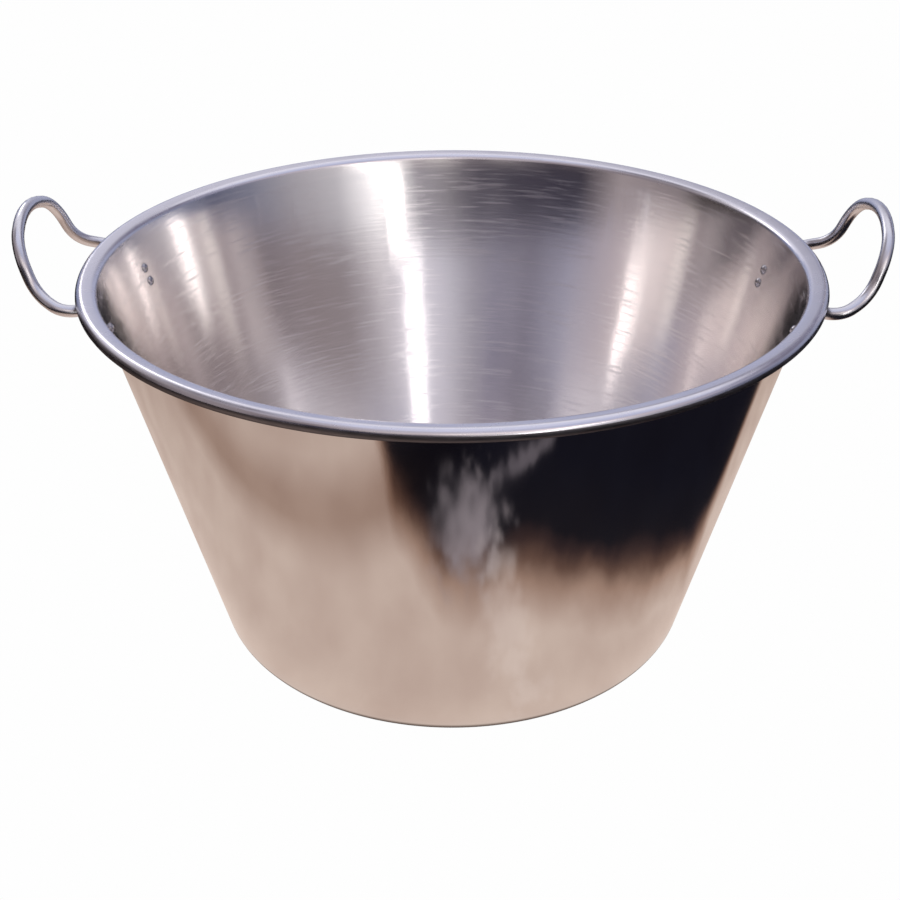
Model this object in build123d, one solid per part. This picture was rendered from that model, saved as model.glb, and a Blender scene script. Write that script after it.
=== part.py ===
"""Stainless cauldron: a spun conical shell rolled over a rim wire, with two riveted rod handles.

Units are millimetres, +Z is up, and the origin is the centre of the flat underside.
The handles face +X and -X, and +Y is the rear side.
"""

import os
from math import atan2, cos, degrees, radians, sin, tan

from build123d import *

# Shell, spun from one disc of sheet
RIM_DIAMETER = 560.0
OVERALL_HEIGHT = 307.0
SHEET = 1.5
BASE_CONE_RADIUS = 189.0
WALL_SLOPE = 0.255
CORNER_RADIUS = 22.0

# Rim: the wall is turned out into a narrow ledge, and the edge is rolled over a steel wire
LEDGE_BEND = 4.0
LEDGE_RISE = 10.0
WIRE_DIAMETER = 7.0
CURL_END_ANGLE = -145.0

# Handles, each bent from one length of rod
ROD_DIAMETER = 9.0
LEG_EXIT = Vector(281.0, 71.0, 290.5)
ELBOW = Vector(303.0, 57.7, 300.0)
SHOULDER = Vector(314.4, 50.3, 332.7)
CREST = Vector(319.5, 17.0, 345.2)
NECK_BEND = 7.5
EXIT_BEND = 18.0
ELBOW_BEND = 30.0
SHOULDER_BEND = 33.0
CREST_BEND = 86.0

# Handle feet, pressed flat on the wall, with two rivet holes each
FOOT_AZIMUTH = 13.8
FOOT_SPLAY = 8.0
FOOT_WIDTH = 15.0
FOOT_THICKNESS = 4.0
FOOT_FLAT_LENGTH = 16.5
FOOT_TAPER_LENGTH = 7.0
NECK_LENGTH = 6.5
LOWER_RIVET_HEIGHT = 262.5
RIVET_SPACING = 12.0

# Rivets
SHANK_DIAMETER = 5.0
OUTER_HEAD_DIAMETER = 9.0
OUTER_HEAD_HEIGHT = 3.0
INNER_HEAD_DIAMETER = 8.0
INNER_HEAD_HEIGHT = 2.2

# Depth that a foot is let into the wall before its back is cut to the wall's curve
SEATING_DEPTH = 0.2

# Gap that keeps a flat-backed rivet head off the hollow inside of the wall
HEAD_RELIEF = 0.1

# Flat left on the round end of a foot's taper, too small to see
ROUND_FLAT = 0.02

# Length of the cutter for a rivet hole, longer than foot and sheet together
HOLE_CUTTER_LENGTH = 16.0

# Sizes that follow from the ones above
WIRE_RADIUS = WIRE_DIAMETER / 2
BEAD_RADIUS = WIRE_RADIUS + SHEET
WIRE_RING_RADIUS = RIM_DIAMETER / 2 - BEAD_RADIUS
WIRE_HEIGHT = OVERALL_HEIGHT - BEAD_RADIUS
ROD_RADIUS = ROD_DIAMETER / 2
WALL_TILT = degrees(atan2(WALL_SLOPE, 1.0))
FOOT_TAPER_END = FOOT_FLAT_LENGTH + FOOT_TAPER_LENGTH
RIVET_DISTANCES = {"lower": 0.0, "upper": RIVET_SPACING}

SIDES = {"right": 1, "left": -1}
ENDS = {"front": -1, "rear": 1}


def wall_radius(height):
    """Radius of the wall's outside face at a height."""
    return BASE_CONE_RADIUS + WALL_SLOPE * height


def sheet_section():
    """Section of the sheet: its outside face, from the base's centre to the curl's end, made thick.

    It is drawn with the radius as X and the height as Y, and then stood up on the XZ plane.
    """
    # The ledge runs on into the curl, so the two are tangent where the curl starts
    rise = radians(LEDGE_RISE)
    curl_start = (
        WIRE_RING_RADIUS - WIRE_RADIUS * sin(rise),
        WIRE_HEIGHT + WIRE_RADIUS * cos(rise),
    )
    curl_start_angle = 90.0 + LEDGE_RISE

    # The wall and the ledge are drawn to the point where their outside faces would cross
    run_to_wall = curl_start[0] - BASE_CONE_RADIUS
    knee_height = (curl_start[1] - tan(rise) * run_to_wall) / (1.0 - tan(rise) * WALL_SLOPE)
    knee = (wall_radius(knee_height), knee_height)

    with BuildSketch() as section:
        with BuildLine():
            FilletPolyline(
                (0.0, 0.0),
                (BASE_CONE_RADIUS, 0.0),
                knee,
                curl_start,
                radius=[CORNER_RADIUS, LEDGE_BEND],
            )
            CenterArc(
                (WIRE_RING_RADIUS, WIRE_HEIGHT),
                WIRE_RADIUS,
                curl_start_angle,
                CURL_END_ANGLE - curl_start_angle,
            )
            offset(amount=SHEET, side=Side.LEFT, closed=True)
        make_face()
    return Plane.XZ * section.sketch


def make_envelope():
    """Space inside the shell's outside face, used to fit the handle feet to the wall."""
    height = OVERALL_HEIGHT
    cone = Cone(wall_radius(0.0), wall_radius(height), height)
    return Pos(0.0, 0.0, height / 2) * cone


def foot_plane(side, end):
    """Plane on the wall at the lower rivet: X across the foot, Y up it and Z straight out."""
    azimuth = radians(FOOT_AZIMUTH) * end
    out_x = side * cos(azimuth)
    out_y = sin(azimuth)
    radius = wall_radius(LOWER_RIVET_HEIGHT)
    origin = Vector(radius * out_x, radius * out_y, LOWER_RIVET_HEIGHT)
    tilt = radians(WALL_TILT)
    outward = Vector(cos(tilt) * out_x, cos(tilt) * out_y, -sin(tilt))
    up_wall = Vector(sin(tilt) * out_x, sin(tilt) * out_y, cos(tilt))
    across = up_wall.cross(outward)
    # The two feet spread apart downwards, so their upper ends lean towards each other
    lean = -radians(FOOT_SPLAY) * side * end
    x_dir = across * cos(lean) - up_wall * sin(lean)
    return Plane(origin=origin, x_dir=x_dir, z_dir=outward)


def foot_section(plane, distance):
    """Flattened section of the rod, at a distance up the foot."""
    origin = plane.from_local_coords(Vector(0.0, distance, FOOT_THICKNESS / 2))
    return Plane(origin=origin, x_dir=plane.x_dir, z_dir=plane.y_dir) * SlotOverall(
        FOOT_WIDTH, FOOT_THICKNESS
    )


def rod_section(plane, distance):
    """Round section of the rod where the taper ends, with the same four edges as the flat."""
    origin = plane.from_local_coords(Vector(0.0, distance, ROD_RADIUS))
    return Plane(origin=origin, x_dir=plane.x_dir, z_dir=plane.y_dir) * SlotCenterToCenter(
        ROUND_FLAT, ROD_DIAMETER
    )


def make_foot(plane):
    """Pressed foot: a round-ended flat with full-round edges, tapering up into the rod."""
    flat = extrude(foot_section(plane, 0.0), amount=FOOT_FLAT_LENGTH, dir=plane.y_dir)
    taper = loft([foot_section(plane, FOOT_FLAT_LENGTH), rod_section(plane, FOOT_TAPER_END)])
    half = split(foot_section(plane, 0.0), bisect_by=Plane(plane.origin, z_dir=plane.x_dir))
    round_end = revolve(half, axis=Axis(plane.origin, plane.z_dir))
    return flat + taper + round_end


def rivet_hole(plane, distance):
    """Cutter for one rivet hole, square to the foot at a distance up it."""
    return plane * Pos(0.0, distance, 0.0) * Cylinder(SHANK_DIAMETER / 2, HOLE_CUTTER_LENGTH)


def make_handle(side, envelope):
    """One handle: round rod through the bends, a pressed foot at each end, and rivet holes."""
    front = foot_plane(side, ENDS["front"])
    rear = foot_plane(side, ENDS["rear"])
    points = []
    for plane, end in ((front, ENDS["front"]), (rear, ENDS["rear"])):
        leg = [
            plane.from_local_coords(Vector(0.0, FOOT_TAPER_END, ROD_RADIUS)),
            plane.from_local_coords(Vector(0.0, FOOT_TAPER_END + NECK_LENGTH, ROD_RADIUS)),
        ]
        for corner in (LEG_EXIT, ELBOW, SHOULDER, CREST):
            leg.append(Vector(side * corner.X, end * corner.Y, corner.Z))
        points += leg if end == ENDS["front"] else leg[::-1]
    bends = [NECK_BEND, EXIT_BEND, ELBOW_BEND, SHOULDER_BEND, CREST_BEND]
    path = FilletPolyline(*points, radius=bends + bends[::-1])
    start = Plane(origin=points[0], z_dir=front.y_dir)
    handle = sweep(start * Circle(ROD_RADIUS), path=path)
    for plane in (front, rear):
        handle += make_foot(plane.offset(-SEATING_DEPTH))
    handle -= envelope
    for plane in (front, rear):
        for distance in RIVET_DISTANCES.values():
            handle -= rivet_hole(plane, distance)
    return handle


def dome(diameter, height):
    """Rivet head with its flat back on the XY plane."""
    ball_radius = (diameter**2 / 4 + height**2) / (2 * height)
    ball = Pos(0.0, 0.0, height - ball_radius) * Sphere(ball_radius)
    return split(ball, bisect_by=Plane.XY)


def make_rivet(plane, distance):
    """Rivet through foot and wall, with a domed head outside and a lower one set inside."""
    grip_top = FOOT_THICKNESS - SEATING_DEPTH
    grip_bottom = -SHEET - HEAD_RELIEF
    shank = Pos(0.0, 0.0, (grip_top + grip_bottom) / 2) * Cylinder(
        SHANK_DIAMETER / 2, grip_top - grip_bottom
    )
    outer = Pos(0.0, 0.0, grip_top) * dome(OUTER_HEAD_DIAMETER, OUTER_HEAD_HEIGHT)
    inner = Pos(0.0, 0.0, grip_bottom) * Rot(180.0, 0.0, 0.0) * dome(
        INNER_HEAD_DIAMETER, INNER_HEAD_HEIGHT
    )
    return plane * Pos(0.0, distance, 0.0) * (shank + outer + inner)


def make_shell():
    """Spun shell with its rolled rim, drilled for the eight rivets."""
    shell = revolve(sheet_section(), axis=Axis.Z)
    for side in SIDES.values():
        for end in ENDS.values():
            for distance in RIVET_DISTANCES.values():
                shell -= rivet_hole(foot_plane(side, end), distance)
    return shell


def make_wire():
    """Ring of wire that the sheet is rolled round."""
    return Pos(0.0, 0.0, WIRE_HEIGHT) * Torus(WIRE_RING_RADIUS, WIRE_RADIUS)


os.makedirs("parts", exist_ok=True)

parts = {"shell": make_shell(), "rim_wire": make_wire()}
envelope = make_envelope()
for side_name, side in SIDES.items():
    parts["handle_" + side_name] = make_handle(side, envelope)
    for end_name, end in ENDS.items():
        plane = foot_plane(side, end)
        for level, distance in RIVET_DISTANCES.items():
            name = "_".join(("rivet", side_name, end_name, level))
            parts[name] = make_rivet(plane, distance)

for name, part in parts.items():
    export_step(part, os.path.join("parts", name + ".step"))
    print(name, len(part.solids()), round(part.volume, 1))
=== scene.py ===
"""A wide stainless cauldron on a pale floor: a spun shell with a rolled rim, and two riveted handles."""
from math import cos, degrees, pi, radians, sin, sqrt, tan

import bmesh
import bpy
from mathutils import Matrix, Quaternion, Vector


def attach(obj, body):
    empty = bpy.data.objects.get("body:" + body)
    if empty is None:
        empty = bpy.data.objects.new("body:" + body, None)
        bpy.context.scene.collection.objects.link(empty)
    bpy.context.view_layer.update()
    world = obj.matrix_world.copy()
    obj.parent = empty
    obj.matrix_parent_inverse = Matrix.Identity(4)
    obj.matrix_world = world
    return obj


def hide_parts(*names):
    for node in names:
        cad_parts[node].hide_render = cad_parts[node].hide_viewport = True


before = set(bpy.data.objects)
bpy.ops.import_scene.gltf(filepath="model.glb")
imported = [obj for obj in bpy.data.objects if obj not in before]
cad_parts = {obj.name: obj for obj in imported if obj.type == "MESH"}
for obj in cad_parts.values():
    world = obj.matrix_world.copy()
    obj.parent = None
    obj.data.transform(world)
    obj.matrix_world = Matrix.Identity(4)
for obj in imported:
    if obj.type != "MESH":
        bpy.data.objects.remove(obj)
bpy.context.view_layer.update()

scene = bpy.context.scene


# The shell is one disc of stainless sheet, spun over a former into a tapered bowl.
# At the mouth the wall is turned out into a narrow ledge, and the edge is rolled over a wire.
# Outside it is polished nearly to a mirror, and inside the fine marks of brushing run round it.
MM = 0.001
SHEET = 1.5 * MM
BASE_CONE_RADIUS = 189.0 * MM
WALL_SLOPE = 0.255
WALL_TILT = radians(14.305)
CORNER_RADIUS = 22.0 * MM
LEDGE_BEND = 4.0 * MM
LEDGE_RISE = radians(10.0)
WIRE_CENTRE = Vector((275.0, 0.0, 302.0)) * MM
WIRE_RADIUS = 3.5 * MM
CURL_TURN = radians(245.0)
ROUND_STEPS = 360
BASE_STEPS = 12
CORNER_STEPS = 12
WALL_STEPS = 24
LEDGE_BEND_STEPS = 6
LEDGE_STEPS = 2
CURL_STEPS = 20
MERGE_DISTANCE = 0.01 * MM

# Nearly all the values of a noise lie in this range
NOISE_RANGE = {"From Min": 0.25, "From Max": 0.75}


def linear(code):
    """Scene-linear colour of an sRGB hex code."""
    channels = [int(code[i : i + 2], 16) / 255 for i in (1, 3, 5)]
    return [c / 12.92 if c <= 0.04045 else ((c + 0.055) / 1.055) ** 2.4 for c in channels] + [1.0]


def node(tree, kind, inputs=None, **settings):
    """Adds a node with its settings, and sets or links its inputs."""
    made = tree.nodes.new(kind)
    for name, value in settings.items():
        setattr(made, name, value)
    for name, value in (inputs or {}).items():
        if isinstance(value, bpy.types.NodeSocket):
            tree.links.new(value, made.inputs[name])
        else:
            made.inputs[name].default_value = value
    return made


def steel(name, colour):
    """A stainless steel: its material, tree and shader, and the Object coordinates of its patterns."""
    material = bpy.data.materials.new(name)
    material.use_nodes = True
    tree = material.node_tree
    shader = tree.nodes["Principled BSDF"]
    shader.inputs["Metallic"].default_value = 1.0
    shader.inputs["Base Color"].default_value = linear(colour)
    where = node(tree, "ShaderNodeTexCoord").outputs["Object"]
    return material, tree, shader, where


def noise(tree, where, scale, detail):
    """Noise on Object coordinates, its scale given for each axis in cycles per metre."""
    placed = node(tree, "ShaderNodeMapping", {"Vector": where, "Scale": scale}).outputs["Vector"]
    made = node(tree, "ShaderNodeTexNoise", {"Vector": placed, "Scale": 1.0, "Detail": detail})
    return made.outputs["Fac"]


def roughen(tree, shader, pattern, low, high):
    """Lets a noise vary the steel's roughness from low to high."""
    made = node(
        tree,
        "ShaderNodeMapRange",
        {"Value": pattern, **NOISE_RANGE, "To Min": low, "To Max": high},
        interpolation_type="SMOOTHSTEP",
    )
    tree.links.new(made.outputs["Result"], shader.inputs["Roughness"])


def bumps(tree, shader, *layers):
    """Lays bump layers over each other, each a height and its depth in metres."""
    normal = None
    for height, depth in layers:
        inputs = {"Height": height, "Strength": 1.0, "Distance": depth}
        if normal is not None:
            inputs["Normal"] = normal
        normal = node(tree, "ShaderNodeBump", inputs).outputs["Normal"]
    tree.links.new(normal, shader.inputs["Normal"])


# Mirror-polished 304 stainless: clear reflections, with broad shallow waves from the spinning, a little
# haze, and marks of the buff up the wall, drawn 4 mm wide, coarser than they are, so that they show
outside_steel, tree, shader, where = steel("mirror_polished_stainless", "#dfdad7")
roughen(tree, shader, noise(tree, where, (22.0, 22.0, 14.0), 5.0), 0.055, 0.13)
bumps(
    tree,
    shader,
    (noise(tree, where, (9.0, 9.0, 6.0), 1.0), 0.5 * MM),
    (noise(tree, where, (260.0, 260.0, 30.0), 2.0), 0.012 * MM),
)

# Brushed 304 stainless: fine lines round the bowl, which draw each light out up and down the wall.
# They are drawn 2.4 mm apart, coarser than real brushing, so that they show
inside_steel, tree, shader, where = steel("brushed_stainless", "#f8f5f4")
tangent = node(tree, "ShaderNodeTangent", direction_type="RADIAL", axis="Z")
tree.links.new(tangent.outputs["Tangent"], shader.inputs["Tangent"])
shader.inputs["Anisotropic Rotation"].default_value = 0.25
dents = noise(tree, where, (13.0, 13.0, 9.0), 2.0)
lines = noise(tree, where, (10.0, 10.0, 420.0), 3.0)
bumps(tree, shader, (dents, 0.28 * MM), (lines, 0.03 * MM))

# Scuffs of use break the grain up: on them the steel is rougher, and draws the lights out less
SCUFF_RANGE = {"From Min": 0.5, "From Max": 0.7}
scuffs = noise(tree, where, (26.0, 26.0, 420.0), 5.0)
hazy = node(
    tree,
    "ShaderNodeMapRange",
    {
        "Value": noise(tree, where, (16.0, 16.0, 10.0), 5.0),
        **NOISE_RANGE,
        "To Min": 0.11,
        "To Max": 0.15,
    },
    interpolation_type="SMOOTHSTEP",
)
scuffed = node(
    tree,
    "ShaderNodeMapRange",
    {"Value": scuffs, **SCUFF_RANGE, "To Min": 0.0, "To Max": 0.11},
    interpolation_type="SMOOTHSTEP",
)
roughness = node(
    tree,
    "ShaderNodeMath",
    {0: hazy.outputs["Result"], 1: scuffed.outputs["Result"]},
    operation="ADD",
)
tree.links.new(roughness.outputs["Value"], shader.inputs["Roughness"])
grain = node(
    tree,
    "ShaderNodeMapRange",
    {"Value": scuffs, **SCUFF_RANGE, "To Min": 0.9, "To Max": 0.58},
    interpolation_type="SMOOTHSTEP",
)
tree.links.new(grain.outputs["Result"], shader.inputs["Anisotropic"])

# Polished rim: the roll is buffed by hand, so it is even and a little softer than the wall
rim_steel, tree, shader, where = steel("polished_rim_stainless", "#f2f0f4")
roughen(tree, shader, noise(tree, where, (60.0, 60.0, 60.0), 4.0), 0.2, 0.3)
bumps(tree, shader, (noise(tree, where, (14.0, 14.0, 14.0), 2.0), 0.35 * MM))

# The wheel didn't reach the roll's lower outer side, which keeps the dull mill finish of the sheet;
# its dark grey is also painted shade under the roll, and a dark edge tint keeps it dull and shaded where
# it is seen almost edge-on
mill_finish_painted_shade_steel, tree, shader, where = steel("mill_finish_stainless_painted_shade", "#8d898c")
shader.inputs["Specular Tint"].default_value = linear("#3a3838")
roughen(tree, shader, noise(tree, where, (80.0, 80.0, 300.0), 3.0), 0.42, 0.58)


def run_to(bm, tip, point, pieces=1):
    """Draws a section on in a straight run, divided into pieces."""
    start = tip.co.copy()
    for step in range(1, pieces + 1):
        tip = bmesh.ops.extrude_vert_indiv(bm, verts=[tip])["verts"][0]
        tip.co = start.lerp(point, step / pieces)
    return tip


def bend(bm, tip, centre, turn, steps):
    """Draws a section on in an arc about centre."""
    last = bmesh.ops.spin(
        bm, geom=[tip], cent=centre, axis=(0.0, 1.0, 0.0), angle=turn, steps=steps
    )["geom_last"]
    return [v for v in last if isinstance(v, bmesh.types.BMVert)][0]


def turn_round(bm, steps):
    """Turns a section round the Z axis, closed and with its faces outwards."""
    bmesh.ops.spin(
        bm,
        geom=bm.verts[:] + bm.edges[:],
        cent=(0.0, 0.0, 0.0),
        axis=(0.0, 0.0, 1.0),
        angle=radians(360),
        steps=steps,
        use_merge=True,
    )
    bmesh.ops.remove_doubles(bm, verts=bm.verts, dist=MERGE_DISTANCE)
    bmesh.ops.recalc_face_normals(bm, faces=bm.faces)


def mesh_piece(name, bm, *materials):
    """Turns a bmesh into a smooth-shaded object at the origin, riding on the cauldron."""
    mesh = bpy.data.meshes.new(name)
    bm.to_mesh(mesh)
    bm.free()
    mesh.shade_smooth()
    piece = bpy.data.objects.new(name, mesh)
    scene.collection.objects.link(piece)
    for material in materials:
        mesh.materials.append(material)
    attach(piece, "root")
    return piece


curl_start = WIRE_CENTRE + WIRE_RADIUS * Vector((-sin(LEDGE_RISE), 0.0, cos(LEDGE_RISE)))
run_to_wall = curl_start.x - BASE_CONE_RADIUS
knee_height = (curl_start.z - tan(LEDGE_RISE) * run_to_wall) / (1.0 - tan(LEDGE_RISE) * WALL_SLOPE)
knee = Vector((BASE_CONE_RADIUS + WALL_SLOPE * knee_height, 0.0, knee_height))
up_wall = Vector((sin(WALL_TILT), 0.0, cos(WALL_TILT)))
off_wall = Vector((cos(WALL_TILT), 0.0, -sin(WALL_TILT)))
corner_turn = radians(90.0) - WALL_TILT
ledge_turn = corner_turn - LEDGE_RISE
base_edge = Vector((BASE_CONE_RADIUS - CORNER_RADIUS * tan(corner_turn / 2), 0.0, 0.0))
wall_top = knee - up_wall * LEDGE_BEND * tan(ledge_turn / 2)

bm = bmesh.new()
tip = bm.verts.new((0.0, 0.0, 0.0))
tip = run_to(bm, tip, base_edge, BASE_STEPS)
tip = bend(bm, tip, base_edge + Vector((0.0, 0.0, CORNER_RADIUS)), -corner_turn, CORNER_STEPS)
tip = run_to(bm, tip, wall_top, WALL_STEPS)
tip = bend(bm, tip, wall_top + off_wall * LEDGE_BEND, ledge_turn, LEDGE_BEND_STEPS)
tip = run_to(bm, tip, curl_start, LEDGE_STEPS)
tip = bend(bm, tip, WIRE_CENTRE, CURL_TURN, CURL_STEPS)
turn_round(bm, ROUND_STEPS)
bm.normal_update()
base_face = min(bm.faces, key=lambda face: face.calc_center_median().length)
if base_face.normal.z > 0:
    bmesh.ops.reverse_faces(bm, faces=bm.faces)
# The sheet's thickness takes the next material, so a face's own index is one below the side seen
RIM, MILL_FINISH_PAINTED_SHADE = 2, 1
# The roll's outer faces below this height take the mill finish steel, whose dark grey is painted shade
MILL_FINISH_PAINTED_SHADE_TOP = WIRE_CENTRE.z + 0.8 * MM
for face in bm.faces:
    centre = face.calc_center_median()
    if centre.xy.length > WIRE_CENTRE.x and centre.z < MILL_FINISH_PAINTED_SHADE_TOP:
        face.material_index = MILL_FINISH_PAINTED_SHADE
    elif centre.xy.length > wall_top.x:
        face.material_index = RIM
bowl = mesh_piece("spun_bowl", bm, outside_steel, inside_steel, mill_finish_painted_shade_steel, rim_steel)
wall = bowl.modifiers.new("sheet", "SOLIDIFY")
wall.thickness = SHEET
wall.offset = -1.0
wall.use_even_offset = True
wall.material_offset = 1
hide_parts("shell")


# The rim wire is a plain ring of drawn steel. The rolled edge wraps it, so only a little of it can
# ever be seen, from below, and it is shown as it was modelled.
wire_steel, tree, shader, where = steel("drawn_steel_wire", "#9a9896")
roughen(tree, shader, noise(tree, where, (30.0, 30.0, 600.0), 2.0), 0.3, 0.45)
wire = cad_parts["rim_wire"]
wire.data.materials.clear()
wire.data.materials.append(wire_steel)


# Each handle is one length of round stainless rod, bent into an upright loop and polished.
# Its ends are pressed flat, sit on the wall under the rim, and carry two rivets each.
FOOT_AZIMUTH = radians(13.8)
FOOT_SPLAY = radians(8.0)
FOOT_HALF_WIDTH = 7.5 * MM
FOOT_HALF_THICKNESS = 2.0 * MM
FOOT_FLAT_LENGTH = 16.5 * MM
FOOT_TAPER_END = 23.5 * MM
NECK_LENGTH = 6.5 * MM
LOWER_RIVET_HEIGHT = 262.5 * MM
SEATING_DEPTH = 0.2 * MM
ROD_RADIUS = 4.5 * MM
ROD_SIDES = 32
LEG = ((281.0, 71.0, 290.5), (303.0, 57.7, 300.0), (314.4, 50.3, 332.7), (319.5, 17.0, 345.2))
LEG_BENDS = (7.5 * MM, 18.0 * MM, 30.0 * MM, 33.0 * MM, 86.0 * MM)
DEGREES_A_STEP = 6.0
FEWEST_BEND_STEPS = 2
ROD_MERGE_DISTANCE = 0.001 * MM

# Sections of a foot: steps down its taper, and turns in degrees round its end
TAPER_STEPS = 4
ROUND_END_TURNS = (0, 15, 30, 42, 52, 62, 70, 77, 83, 88)

# The rod's points reach the foot's rounded edges this much sooner than an even spread would
EDGE_CROWDING = 1.5

# Polished rod: rubbed on a belt before it was bent, so it is even all over and softer than the wall
handle_steel, tree, shader, where = steel("polished_rod_stainless", "#ecebee")
haze = noise(tree, where, (90.0, 90.0, 90.0), 4.0)
roughen(tree, shader, haze, 0.24, 0.32)
bumps(tree, shader, (haze, 0.05 * MM))


def foot_frame(side, end):
    """Place of a foot's lower rivet on the wall: X across the foot, Y up it and Z straight out."""
    out = Vector((side * cos(FOOT_AZIMUTH), end * sin(FOOT_AZIMUTH), 0.0))
    place = out * (BASE_CONE_RADIUS + WALL_SLOPE * LOWER_RIVET_HEIGHT)
    place.z = LOWER_RIVET_HEIGHT
    outward = out * cos(WALL_TILT) - Vector((0.0, 0.0, sin(WALL_TILT)))
    up_here = out * sin(WALL_TILT) + Vector((0.0, 0.0, cos(WALL_TILT)))
    across = up_here.cross(outward)
    lean = -FOOT_SPLAY * side * end
    x_axis = across * cos(lean) - up_here * sin(lean)
    turned = Matrix((x_axis, outward.cross(x_axis), outward)).transposed().to_4x4()
    return Matrix.Translation(place) @ turned


def draw_ring(bm, ring):
    """Extrudes an open ring of edges, and gives the new ring and its points by their old ones."""
    made = bmesh.ops.extrude_edge_only(bm, edges=ring)["geom"]
    fresh = [g for g in made if isinstance(g, bmesh.types.BMVert)]
    old_points = {v for edge in ring for v in edge.verts}
    pairs = {}
    for v in fresh:
        pairs[v] = [e.other_vert(v) for e in v.link_edges if e.other_vert(v) in old_points][0]
    new_ring = [g for g in made if isinstance(g, bmesh.types.BMEdge) and g.is_boundary]
    return new_ring, pairs


def press_foot(bm, ring, place):
    """Draws the rod's end on into a flat, round-ended foot with full-round edges."""
    to_foot = place.inverted()
    unit = {}
    for edge in ring:
        for v in edge.verts:
            local = to_foot @ v.co
            unit[v] = (local.x / ROD_RADIUS, local.z / ROD_RADIUS - 1.0)
    stations = []
    for step in range(1, TAPER_STEPS + 1):
        eased = sin(pi / 2 * step / TAPER_STEPS)
        stations.append(
            (
                FOOT_TAPER_END + (FOOT_FLAT_LENGTH - FOOT_TAPER_END) * step / TAPER_STEPS,
                ROD_RADIUS + (FOOT_HALF_WIDTH - ROD_RADIUS) * eased,
                ROD_RADIUS + (FOOT_HALF_THICKNESS - ROD_RADIUS) * eased,
            )
        )
    flat_radius = FOOT_HALF_WIDTH - FOOT_HALF_THICKNESS
    for turn in ROUND_END_TURNS:
        reach = FOOT_HALF_WIDTH * sin(radians(turn))
        past_flat = max(0.0, reach - flat_radius) / FOOT_HALF_THICKNESS
        stations.append(
            (
                -reach,
                FOOT_HALF_WIDTH * cos(radians(turn)),
                FOOT_HALF_THICKNESS * sqrt(1.0 - past_flat**2),
            )
        )
    for distance, half_width, half_thickness in stations:
        ring, pairs = draw_ring(bm, ring)
        edge_radius = min(half_thickness, half_width)
        middle = FOOT_HALF_THICKNESS if distance <= FOOT_FLAT_LENGTH else half_thickness
        for v, old in pairs.items():
            u, w = unit.pop(old) if old in unit else unit[old]
            unit[v] = (u, w)
            beside = max(-1.0, min(1.0, EDGE_CROWDING * u)) * (half_width - edge_radius)
            v.co = place @ Vector((beside + u * edge_radius, distance, middle + w * half_thickness))
    bmesh.ops.contextual_create(bm, geom=ring)


def bent_rod(name, side):
    """One handle: the rod from bend to bend, then the feet pressed at its two ends."""
    feet = [foot_frame(side, end) @ Matrix.Translation((0.0, 0.0, -SEATING_DEPTH)) for end in (-1, 1)]
    corners = []
    for end, foot in zip((-1, 1), feet):
        neck = (FOOT_TAPER_END, FOOT_TAPER_END + NECK_LENGTH)
        leg = [foot @ Vector((0.0, distance, ROD_RADIUS)) for distance in neck]
        leg += [Vector((side * x, end * y, z)) * MM for x, y, z in LEG]
        corners += leg if end < 0 else leg[::-1]
    bends = LEG_BENDS + LEG_BENDS[::-1]

    bm = bmesh.new()
    along = (corners[1] - corners[0]).normalized()
    across = feet[0].to_3x3() @ Vector((1.0, 0.0, 0.0))
    start = Matrix((across, along.cross(across), along)).transposed().to_4x4()
    bmesh.ops.create_circle(
        bm, segments=ROD_SIDES, radius=ROD_RADIUS, matrix=Matrix.Translation(corners[0]) @ start
    )
    first_ring = bm.edges[:]
    ring = first_ring
    reached = corners[0]
    for corner, beyond, radius in zip(corners[1:-1], corners[2:], bends):
        along = (corner - reached).normalized()
        onward = (beyond - corner).normalized()
        turn = along.angle(onward)
        bend_start = corner - along * radius * tan(turn / 2)
        ring, pairs = draw_ring(bm, ring)
        bmesh.ops.translate(bm, verts=list(pairs), vec=bend_start - reached)
        inward = (onward - along * along.dot(onward)).normalized()
        last = bmesh.ops.spin(
            bm,
            geom=ring,
            cent=bend_start + inward * radius,
            axis=along.cross(onward).normalized(),
            angle=turn,
            steps=max(FEWEST_BEND_STEPS, round(degrees(turn) / DEGREES_A_STEP)),
        )["geom_last"]
        ring = [g for g in last if isinstance(g, bmesh.types.BMEdge)]
        reached = corner + onward * radius * tan(turn / 2)
    ring, pairs = draw_ring(bm, ring)
    bmesh.ops.translate(bm, verts=list(pairs), vec=corners[-1] - reached)
    press_foot(bm, first_ring, feet[0])
    press_foot(bm, ring, feet[1])
    bmesh.ops.remove_doubles(bm, verts=bm.verts, dist=ROD_MERGE_DISTANCE)
    bmesh.ops.recalc_face_normals(bm, faces=bm.faces)
    return mesh_piece(name, bm, handle_steel)


SIDES = {"right": 1, "left": -1}
ENDS = {"front": -1, "rear": 1}
for side_name, side in SIDES.items():
    loop = bent_rod("rod_handle_" + side_name, side)
    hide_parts("handle_" + side_name)


# Two stainless rivets hold each foot to the wall. Each has a domed head outside,
# and a lower one inside the bowl, set from a shank that fills its hole.
RIVET_SPACING = 12.0 * MM
SHANK_RADIUS = 2.5 * MM
OUTER_HEAD = (4.5 * MM, 3.0 * MM)
INNER_HEAD = (4.0 * MM, 2.2 * MM)
HEAD_RELIEF = 0.1 * MM
RIVET_STEPS = 28
HEAD_STEPS = 8

# Bright rivet steel: the heads keep the fine roughness of the set that formed them
rivet_steel, tree, shader, where = steel("bright_rivet_stainless", "#c4c0c1")
struck = noise(tree, where, (350.0, 350.0, 350.0), 2.0)
roughen(tree, shader, struck, 0.16, 0.3)
bumps(tree, shader, (struck, 0.04 * MM))


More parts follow.
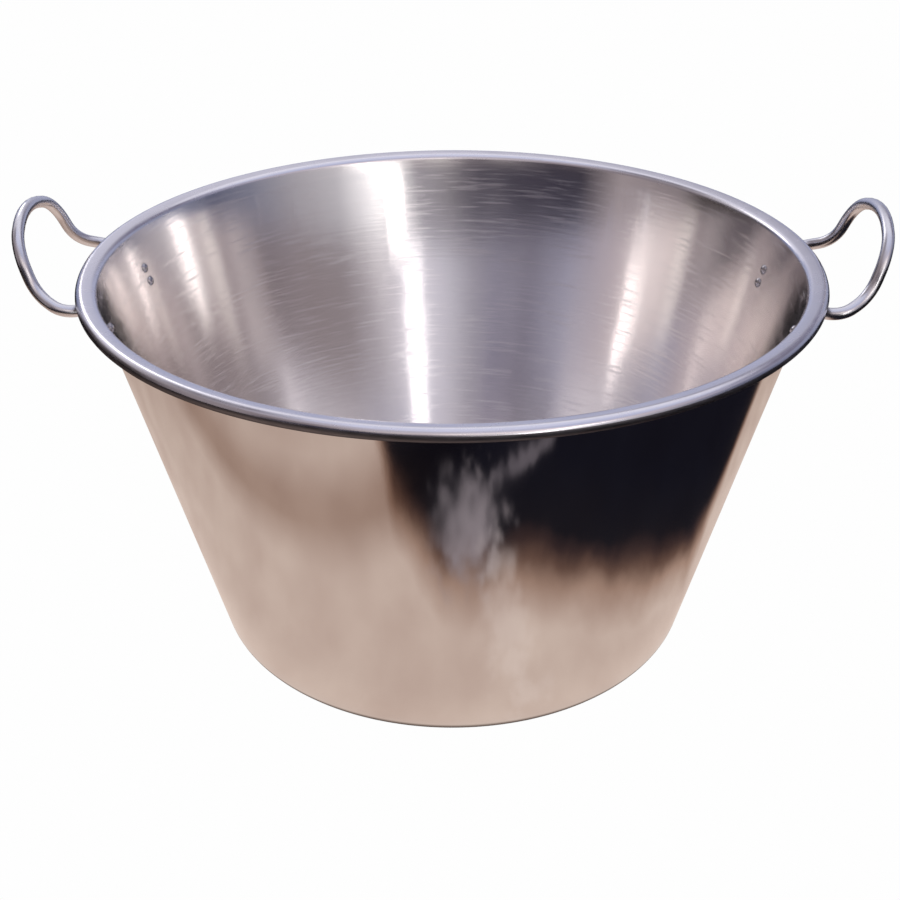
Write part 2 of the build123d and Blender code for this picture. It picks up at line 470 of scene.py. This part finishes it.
def rivet(name, place):
    """One rivet, turned about its own axis and then stood on the foot."""
    top = FOOT_HALF_THICKNESS * 2 - SEATING_DEPTH
    bottom = -SHEET - HEAD_RELIEF
    outer_ball, inner_ball = [(r * r + h * h) / (2 * h) for r, h in (OUTER_HEAD, INNER_HEAD)]
    bm = bmesh.new()
    tip = bm.verts.new((0.0, 0.0, top + OUTER_HEAD[1]))
    centre = Vector((0.0, 0.0, top + OUTER_HEAD[1] - outer_ball))
    head_turn = Vector((0, 1)).angle(Vector((OUTER_HEAD[0], top - centre.z)))
    tip = bend(bm, tip, centre, head_turn, HEAD_STEPS)
    tip = run_to(bm, tip, Vector((SHANK_RADIUS, 0.0, top)))
    tip = run_to(bm, tip, Vector((SHANK_RADIUS, 0.0, bottom)))
    tip = run_to(bm, tip, Vector((INNER_HEAD[0], 0.0, bottom)))
    centre = Vector((0.0, 0.0, bottom - INNER_HEAD[1] + inner_ball))
    head_turn = Vector((0, -1)).angle(Vector((INNER_HEAD[0], bottom - centre.z)))
    bend(bm, tip, centre, head_turn, HEAD_STEPS)
    turn_round(bm, RIVET_STEPS)
    bmesh.ops.transform(bm, matrix=place, verts=bm.verts)
    return mesh_piece(name, bm, rivet_steel)


for side_name, side in SIDES.items():
    for end_name, end in ENDS.items():
        for level, distance in (("lower", 0.0), ("upper", RIVET_SPACING)):
            ending = "_".join((side_name, end_name, level))
            place = foot_frame(side, end) @ Matrix.Translation((0.0, distance, 0.0))
            head = rivet("set_rivet_" + ending, place)
            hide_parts("rivet_" + ending)


# The floor is a plain pale sheet. The polished wall mirrors a second sheet, which the camera misses and
# which glows:
# painted light of sandy ground, light beside the pot, with a broad dark painted shadow in front of it
# and to the right.
FLOOR_WIDTH = 40.0
FLOOR_HEIGHT = -0.5 * MM
MIRRORED_WIDTH = 10.0
MIRRORED_HEIGHT = -1.0 * MM


def stage_sheet(name, width, height, material):
    """A flat square of the stage."""
    bm = bmesh.new()
    bmesh.ops.create_grid(bm, x_segments=1, y_segments=1, size=width / 2)
    bmesh.ops.translate(bm, verts=bm.verts, vec=(0.0, 0.0, height))
    mesh = bpy.data.meshes.new(name)
    bm.to_mesh(mesh)
    bm.free()
    mesh.materials.append(material)
    piece = bpy.data.objects.new(name, mesh)
    scene.collection.objects.link(piece)
    return piece


def glowing(name):
    """A material that only glows: its tree and its glow."""
    material = bpy.data.materials.new(name)
    material.use_nodes = True
    tree = material.node_tree
    tree.nodes.clear()
    glow = node(tree, "ShaderNodeEmission", {"Strength": 1.0})
    node(tree, "ShaderNodeOutputMaterial", {"Surface": glow.outputs["Emission"]})
    return material, tree, glow


def shades(tree, value, low, high, *stops):
    """Colours along a value that runs from low to high, each stop given in the value's own unit."""
    share = node(tree, "ShaderNodeMapRange", {"Value": value, "From Min": low, "From Max": high})
    ramp = node(tree, "ShaderNodeValToRGB", {"Fac": share.outputs["Result"]})
    elements = ramp.color_ramp.elements
    while len(elements) < len(stops):
        elements.new(1.0)
    for element, (place, colour) in zip(elements, stops):
        element.position = (place - low) / (high - low)
        element.color = linear(colour)
    return ramp.outputs["Color"]


def compass(tree, split, first, second):
    """Angle in degrees of a place, from one of its axes towards the other."""
    turned = node(
        tree, "ShaderNodeMath", {0: split.outputs[second], 1: split.outputs[first]}, operation="ARCTAN2"
    )
    return node(
        tree, "ShaderNodeMath", {0: turned.outputs["Value"]}, operation="DEGREES"
    ).outputs["Value"]


pale, tree, glow = glowing("pale_floor")
glow.inputs["Color"].default_value = linear("#fefefe")
floor = stage_sheet("floor", FLOOR_WIDTH, FLOOR_HEIGHT, pale)
floor.visible_glossy = False

# Reach of the lit ground round the pot, in metres, by the angle from +X towards +Y
LIT_REACH = (
    (-180, 0.95), (-118, 0.75), (-105, 0.42), (-92, 0.35), (-72, 0.35), (-53, 0.333), (-36, 0.316),
    (-20, 0.308), (-5, 0.303), (3, 0.335), (11, 0.42), (16, 0.52), (24, 0.8), (60, 0.95), (180, 0.95),
)
yard, tree, glow = glowing("sandy_yard_painted_light")
where = node(tree, "ShaderNodeTexCoord").outputs["Object"]
split = node(tree, "ShaderNodeSeparateXYZ", {0: where})
bearing = compass(tree, split, "X", "Y")
away = node(tree, "ShaderNodeVectorMath", {0: where}, operation="LENGTH").outputs["Value"]
turn = node(tree, "ShaderNodeMapRange", {"Value": bearing, "From Min": -180.0, "From Max": 180.0})
reach = node(tree, "ShaderNodeFloatCurve", {"Value": turn.outputs["Result"]})
curve = reach.mapping.curves[0]
for angle, distance in LIT_REACH[1:-1]:
    curve.points.new((angle + 180) / 360, distance)
curve.points[0].location = (0.0, LIT_REACH[0][1])
curve.points[-1].location = (1.0, LIT_REACH[-1][1])
for point in curve.points:
    point.handle_type = "VECTOR"
reach.mapping.update()
ragged = node(
    tree,
    "ShaderNodeMapRange",
    {
        "Value": noise(tree, where, (14.0, 14.0, 14.0), 5.0),
        **NOISE_RANGE,
        "To Min": -0.008,
        "To Max": 0.008,
    },
    interpolation_type="SMOOTHSTEP",
)
past_reach = node(
    tree, "ShaderNodeMath", {0: away, 1: reach.outputs["Value"]}, operation="SUBTRACT"
)
past_edge = node(
    tree,
    "ShaderNodeMath",
    {0: past_reach.outputs["Value"], 1: ragged.outputs["Result"]},
    operation="ADD",
)
sand = shades(
    tree,
    noise(tree, where, (11.0, 11.0, 11.0), 6.0),
    0.0,
    1.0,
    (0.3, "#d9c6bc"),
    (0.7, "#ecdcd2"),
)
# Darker further out, with a painted contact shadow under the pot's foot and a white ring just outside it
ground_by_distance_with_contact_shadow = shades(
    tree,
    away,
    0.15,
    1.5,
    (0.15, "#4a4240"),
    (0.186, "#5a504c"),
    (0.19, "#ffffff"),
    (0.203, "#fffcfa"),
    (0.225, "#f6f2f0"),
    (0.34, "#f2eeec"),
    (0.52, "#e4dedb"),
    (1.0, "#8a7f78"),
    (1.5, "#4c4440"),
)
shadow = shades(
    tree,
    past_edge.outputs["Value"],
    -0.09,
    0.09,
    (-0.075, "#ffffff"),
    (-0.035, "#cdbdb4"),
    (-0.012, "#82706a"),
    (0.004, "#4d4348"),
    (0.018, "#262935"),
    (0.09, "#1f2333"),
)
slanted = node(
    tree,
    "ShaderNodeMapping",
    {"Vector": where, "Location": (-0.30, -0.243, 0.0), "Rotation": (0.0, 0.0, radians(-36.5))},
    vector_type="TEXTURE",
)
pole_shadow = shades(
    tree,
    node(tree, "ShaderNodeSeparateXYZ", {0: slanted.outputs["Vector"]}).outputs["Y"],
    -0.06,
    0.06,
    (-0.06, "#ffffff"),
    (-0.012, "#d9cfca"),
    (0.012, "#d3c8c2"),
    (0.06, "#ffffff"),
)

# A Mix node has its colours at inputs 6 and 7, and its mixed colour at output 2
ground = sand
for layer in (ground_by_distance_with_contact_shadow, pole_shadow, shadow):
    ground = node(
        tree,
        "ShaderNodeMix",
        {"Factor": 1.0, 6: ground, 7: layer},
        data_type="RGBA",
        blend_type="MULTIPLY",
    ).outputs[2]

# Wispy paler patches of painted light on the ground: middle and half widths of each ellipse, its
# strength and colour
PAINTED_LIGHT_PATCHES = (
    ((0.035, -0.365), (0.062, 0.055), 0.85, "#a098a0"),
    ((0.150, -0.408), (0.065, 0.014), 0.8, "#77717a"),
    ((0.074, -0.268), (0.034, 0.085), 0.3, "#fff2ec"),
)
wisps = node(
    tree,
    "ShaderNodeMapRange",
    {
        "Value": noise(tree, where, (48.0, 48.0, 48.0), 8.0),
        **NOISE_RANGE,
        "To Min": -0.45,
        "To Max": 0.45,
    },
    interpolation_type="SMOOTHSTEP",
)
for middle, half_widths, strength, colour in PAINTED_LIGHT_PATCHES:
    shifted = node(
        tree,
        "ShaderNodeMapping",
        {"Vector": where, "Location": (*middle, 0.0), "Scale": (*half_widths, 1.0)},
        vector_type="TEXTURE",
    )
    from_middle = node(
        tree, "ShaderNodeVectorMath", {0: shifted.outputs["Vector"]}, operation="LENGTH"
    )
    wispy = node(
        tree,
        "ShaderNodeMath",
        {0: from_middle.outputs["Value"], 1: wisps.outputs["Result"]},
        operation="ADD",
    )
    depth = node(
        tree,
        "ShaderNodeMapRange",
        {"Value": wispy.outputs["Value"], "From Min": 1.25, "From Max": 0.1, "To Max": strength},
        interpolation_type="SMOOTHSTEP",
    )
    ground = node(
        tree,
        "ShaderNodeMix",
        {"Factor": depth.outputs["Result"], 6: ground, 7: linear(colour)},
        data_type="RGBA",
    ).outputs[2]
tree.links.new(ground, glow.inputs["Color"])
mirrored_ground = stage_sheet("ground_in_reflections", MIRRORED_WIDTH, MIRRORED_HEIGHT, yard)
mirrored_ground.visible_camera = False
mirrored_ground.visible_diffuse = False
mirrored_ground.visible_shadow = False


# The sky that the steel mirrors, as bands from the horizon up, each with its colours round the
# compass: a dim low band of walls and trees, a hazy middle with light and dark sides, and lavender.
SKY = (
    (
        0.0,
        (-180, "#5c585f"), (-172, "#3c3944"), (-156, "#2c2936"), (-133, "#2b2833"), (-118, "#8f8588"),
        (-94, "#756c70"), (-86, "#3a3434"), (-50, "#3c3637"), (-38, "#7d83a0"), (0, "#a3a6bd"),
        (60, "#85899f"), (88, "#53566a"), (103, "#6d6f80"), (123, "#9b989f"), (137, "#b0aeb4"),
        (147, "#dedce0"), (152, "#e8e6e8"), (158, "#e8e6e8"), (166, "#7d7a82"), (180, "#5c585f"),
    ),
    (
        24.0,
        (-180, "#d8cecf"), (-176, "#a3979a"), (-164, "#c4babb"), (-142, "#766c70"), (-108, "#7f7679"),
        (-85, "#857d81"), (-64, "#a19ca3"), (-45, "#cac7d0"), (-33, "#e4e2ec"), (-8, "#bdbcc9"),
        (14, "#8b8996"), (30, "#6e6b7f"), (58, "#676374"), (88, "#9594a6"), (120, "#b0a6ad"),
        (146, "#d8cccd"), (166, "#ddd0cf"), (173, "#fff6f2"), (178, "#fff6f2"), (180, "#d8cecf"),
    ),
    (
        46.0,
        (-180, "#b0aab3"), (-110, "#a09aa4"), (-82, "#6f6a70"), (-52, "#77727a"), (-38, "#c4c2cd"),
        (0, "#dcdbe4"), (50, "#d4d3de"), (90, "#b8bbd0"), (135, "#a6abc6"), (180, "#b0aab3"),
    ),
    (70.0, (-180, "#c0c2d6"), (0, "#c6c8da"), (180, "#c0c2d6")),
)

# Each band is plain up to this share of the way to the next, and then blends into it
BLEND_START = 0.6
SKY_STRENGTH = 1.18

world = bpy.data.worlds.new("yard_sky")
scene.world = world
world.use_nodes = True
tree = world.node_tree
tree.nodes.clear()
direction = node(tree, "ShaderNodeTexCoord").outputs["Generated"]
split = node(tree, "ShaderNodeSeparateXYZ", {0: direction})
azimuth = compass(tree, split, "Y", "X")
sky = None
for index, (elevation, *stops) in enumerate(SKY):
    band = shades(tree, azimuth, -180.0, 180.0, *stops)
    if sky is None:
        sky = band
        continue
    below = SKY[index - 1][0]
    share = node(
        tree,
        "ShaderNodeMapRange",
        {
            "Value": split.outputs["Z"],
            "From Min": sin(radians(below + (elevation - below) * BLEND_START)),
            "From Max": sin(radians(elevation)),
        },
        interpolation_type="SMOOTHSTEP",
    )
    sky = node(
        tree,
        "ShaderNodeMix",
        {"Factor": share.outputs["Result"], 6: sky, 7: band},
        data_type="RGBA",
    ).outputs[2]
seen = node(tree, "ShaderNodeLightPath").outputs["Is Camera Ray"]
backdrop = node(
    tree, "ShaderNodeMix", {"Factor": seen, 6: sky, 7: linear("#fefefe")}, data_type="RGBA"
)
brightness = node(
    tree, "ShaderNodeMapRange", {"Value": seen, "To Min": SKY_STRENGTH, "To Max": 1.0}
)
background = node(
    tree,
    "ShaderNodeBackground",
    {"Color": backdrop.outputs[2], "Strength": brightness.outputs["Result"]},
)
node(tree, "ShaderNodeOutputWorld", {"Surface": background.outputs["Background"]})


# Three tall narrow lights, which the brushed wall draws out into bright streaks.
# Azimuth runs from +Y towards +X, and elevation from the horizon up, both in degrees.
LIGHT_DISTANCE = 2.5
LIGHT_AIM = Vector((0.0, 0.0, 0.15))


def tall_light(name, azimuth, elevation, width, height, radiance, colour, lean=0.0):
    """A tall rectangular light, turned to the bowl, its top leaning towards a lower azimuth."""
    light = bpy.data.lights.new(name, "AREA")
    light.shape = "RECTANGLE"
    light.size = width
    light.size_y = height
    light.energy = radiance * pi * width * height
    light.color = linear(colour)[:3]
    lamp = bpy.data.objects.new(name, light)
    scene.collection.objects.link(lamp)
    turn, rise = radians(azimuth), radians(elevation)
    way = Vector((sin(turn) * cos(rise), cos(turn) * cos(rise), sin(rise)))
    lamp.location = way * LIGHT_DISTANCE + LIGHT_AIM
    lamp.rotation_mode = "QUATERNION"
    leaning = Quaternion((0.0, 0.0, 1.0), -radians(lean))
    lamp.rotation_quaternion = way.to_track_quat("Z", "Y") @ leaning


tall_light("sun_glare", 157, 8, 0.28, 0.62, 3.0, "#fffaf6")
tall_light("rear_glare", -31, 31, 0.52, 0.8, 1.7, "#fffdfc")
tall_light("right_glare", 145, 24, 0.24, 0.7, 2.4, "#fffaf6", lean=56)


# The camera stands where the photograph was taken from, 1.2 m from the pot and a little right of
# its middle line, and looks down into it.
CAMERA_PLACE = (0.0167, -1.0026, 0.6936)
YAW, PITCH, ROLL = radians(-1.067), radians(28.91), radians(0.214)
camera_data = bpy.data.cameras.new("camera")
camera_data.lens = 56.0
camera_data.sensor_width = 36.0
camera_data.clip_start = 0.05
camera_data.clip_end = 60.0
camera = bpy.data.objects.new("camera", camera_data)
scene.collection.objects.link(camera)
ahead = Vector((sin(YAW) * cos(PITCH), cos(YAW) * cos(PITCH), -sin(PITCH)))
level = ahead.cross(Vector((0.0, 0.0, 1.0))).normalized()
above = level.cross(ahead)
right = level * cos(ROLL) - above * sin(ROLL)
up = above * cos(ROLL) + level * sin(ROLL)
turned = Matrix((right, up, -ahead)).transposed().to_4x4()
camera.matrix_world = Matrix.Translation(CAMERA_PLACE) @ turned
scene.camera = camera

scene.view_settings.view_transform = "Standard"
